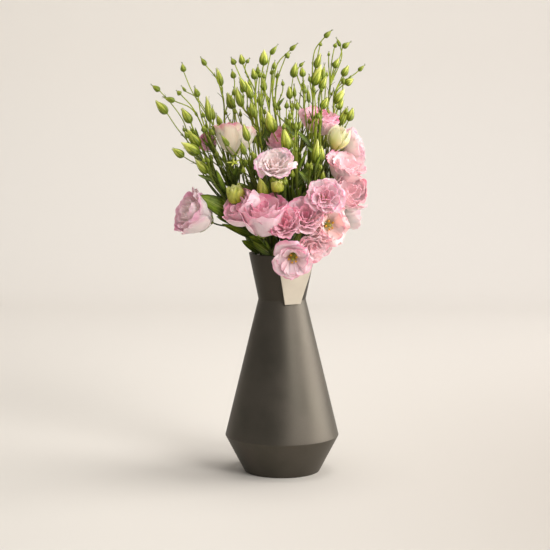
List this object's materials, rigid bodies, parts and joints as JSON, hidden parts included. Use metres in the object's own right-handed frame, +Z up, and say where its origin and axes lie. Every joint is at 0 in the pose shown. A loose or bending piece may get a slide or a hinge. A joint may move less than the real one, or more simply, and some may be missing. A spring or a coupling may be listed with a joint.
{
  "type": "lisianthus flower bouquet in a vase",
  "caption": "Loose bouquet of pink and cream lisianthus flowers with buds, stems and leaves, standing in water in a dark metal vase.",
  "frame": {"origin": "centre of the vase's foot, on the surface it stands on", "axes": "+Z up along the vase's axis, -Y towards the front of the bouquet, +X to the right seen from the front"},
  "size_m": [0.3441, 0.2407, 0.6998],
  "materials": {
    "vase_metal": "satin dark grey-brown metal",
    "plate_metal": "matt pale beige metal",
    "water": "clear",
    "stems_and_buds": "soft waxy green",
    "pink_petals": "soft velvety pink",
    "cream_petals": "soft velvety cream",
    "stamens": "powdery yellow"
  },
  "bodies": {
    "root": {"vase": "vase_metal", "neck_plate": "plate_metal", "water": "water", "spray_near_left": "stems_and_buds", "spray_near_middle": "stems_and_buds", "spray_near_right": "stems_and_buds", "spray_front_far_left": "stems_and_buds", "spray_front_left": "stems_and_buds", "spray_front_right": "stems_and_buds", "spray_front_far_right": "stems_and_buds", "spray_middle_far_left": "stems_and_buds", "spray_middle_left": "stems_and_buds", "spray_middle_inner_left": "stems_and_buds", "spray_middle_inner_right": "stems_and_buds", "spray_middle_right": "stems_and_buds", "spray_middle_far_right": "stems_and_buds", "spray_back_far_left": "stems_and_buds", "spray_back_left": "stems_and_buds", "spray_back_right": "stems_and_buds", "spray_back_far_right": "stems_and_buds", "spray_far_left": "stems_and_buds", "spray_far_middle": "stems_and_buds", "spray_far_right": "stems_and_buds", "spray_far_outer_right": "stems_and_buds", "bloom_side_left": "pink_petals", "bloom_goblet_front": "pink_petals", "bloom_pale_left": "pink_petals", "bloom_deep_middle": "pink_petals", "bloom_inner_right": "pink_petals", "bloom_swirl_right": "pink_petals", "bloom_open_right": "pink_petals", "bloom_low_right": "pink_petals", "bloom_open_low": "pink_petals", "bloom_deep_far_right": "pink_petals", "bloom_pale_right": "pink_petals", "bloom_pale_back_right": "pink_petals", "bloom_low_back_right": "pink_petals", "bloom_cream_right": "cream_petals", "bloom_top_right": "pink_petals", "bloom_centre": "pink_petals", "bloom_cup_left": "pink_petals", "bloom_mauve_left": "pink_petals", "bloom_pink_behind": "pink_petals", "bloom_back_left": "pink_petals", "bloom_back_right": "pink_petals", "bloom_back_top": "pink_petals", "heart_open_low": "stamens", "heart_open_right": "stamens"}
  },
  "joints": []
}
